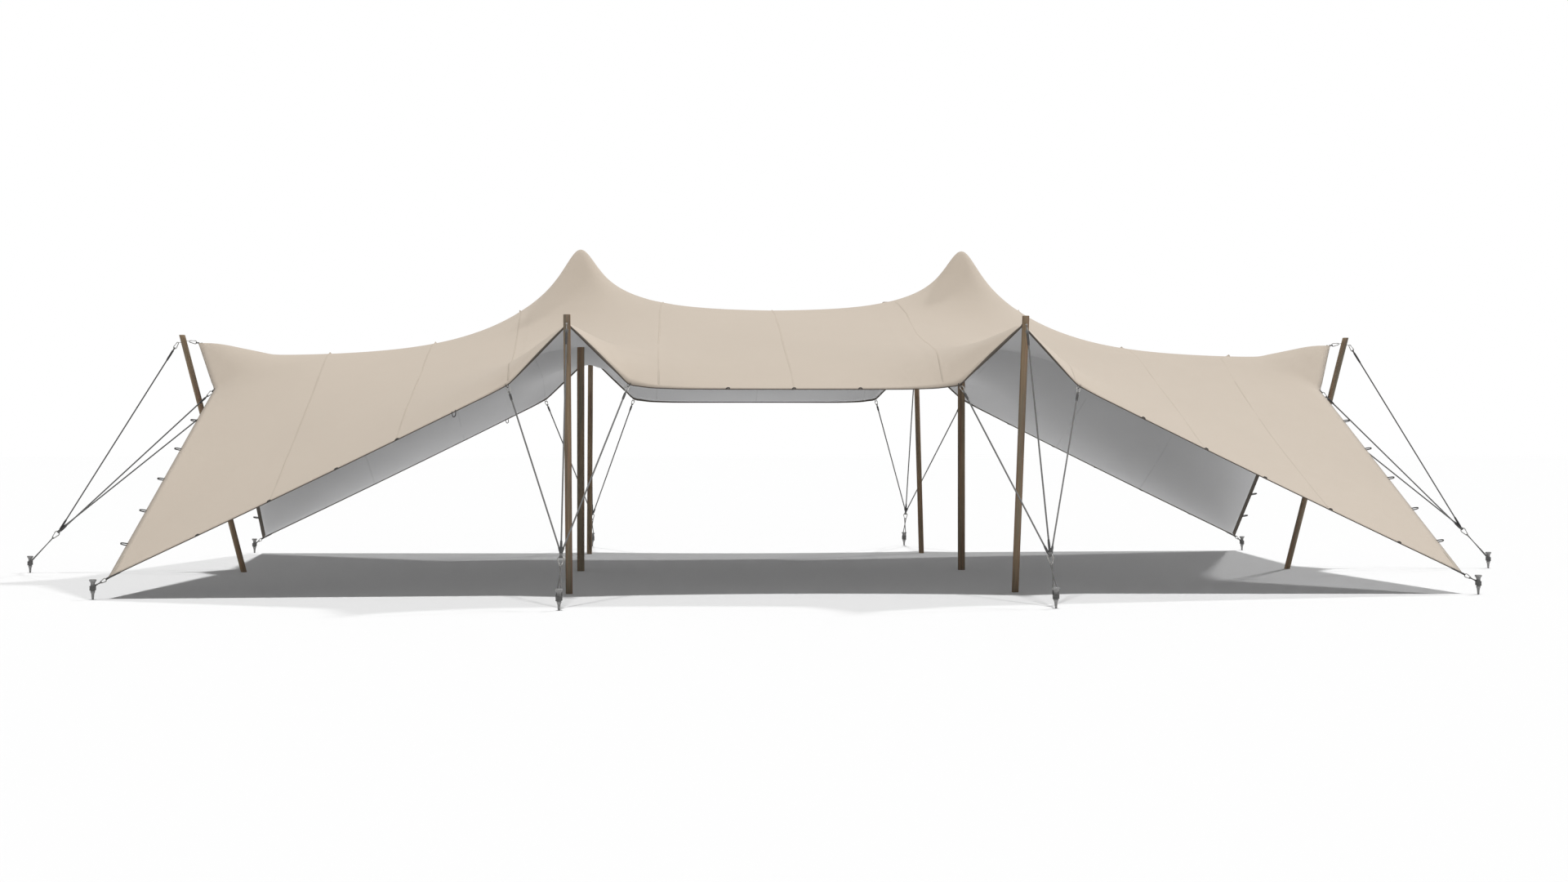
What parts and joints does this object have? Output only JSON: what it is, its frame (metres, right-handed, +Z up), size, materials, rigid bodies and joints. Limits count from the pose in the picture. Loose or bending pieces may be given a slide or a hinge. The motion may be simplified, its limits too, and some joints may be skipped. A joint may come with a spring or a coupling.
{
  "type": "stretch tent",
  "caption": "Open-sided stretch tent: cloth canopy with two peaks on timber poles, its hem and corners held by guys, links and ground stakes.",
  "frame": {"origin": "on the ground, in the middle of the tent", "axes": "+X along the tent's long side, +Y from front to back, +Z up"},
  "size_m": [18.104, 13.614, 3.9545],
  "materials": {
    "canopy_cloth": "matt coated stretch cloth, sand outside and grey inside",
    "pole_timber": "stained, weathered round timber",
    "stake_steel": "dark, dull",
    "guy_rope": "braided rope and webbing",
    "link_steel": "plated"
  },
  "bodies": {
    "root": {"canopy_panel_01": "canopy_cloth", "canopy_panel_02": "canopy_cloth", "canopy_panel_03": "canopy_cloth", "canopy_panel_04": "canopy_cloth", "canopy_panel_05": "canopy_cloth", "canopy_panel_06": "canopy_cloth", "canopy_panel_07": "canopy_cloth", "canopy_panel_08": "canopy_cloth", "canopy_panel_09": "canopy_cloth", "canopy_panel_10": "canopy_cloth", "front_pole_left": "pole_timber", "front_pole_right": "pole_timber", "back_pole_left": "pole_timber", "back_pole_right": "pole_timber", "end_pole_left": "pole_timber", "end_pole_right": "pole_timber", "centre_pole_left": "pole_timber", "centre_pole_right": "pole_timber", "stake_front_left": "stake_steel", "stake_front_right": "stake_steel", "stake_back_left": "stake_steel", "stake_back_right": "stake_steel", "stake_end_left": "stake_steel", "stake_end_right": "stake_steel", "stake_front_left_corner": "stake_steel", "stake_front_right_corner": "stake_steel", "stake_back_left_corner": "stake_steel", "stake_back_right_corner": "stake_steel", "guys_front_left": "guy_rope", "guys_front_right": "guy_rope", "guys_back_left": "guy_rope", "guys_back_right": "guy_rope", "guys_end_left": "guy_rope", "guys_end_right": "guy_rope", "corner_tie_front_left": "guy_rope", "corner_tie_front_right": "guy_rope", "corner_tie_back_left": "guy_rope", "corner_tie_back_right": "guy_rope", "head_tie_front_left": "link_steel", "head_tie_front_right": "link_steel", "head_tie_back_left": "link_steel", "head_tie_back_right": "link_steel", "head_tie_end_left": "link_steel", "head_tie_end_right": "link_steel"}
  },
  "joints": []
}
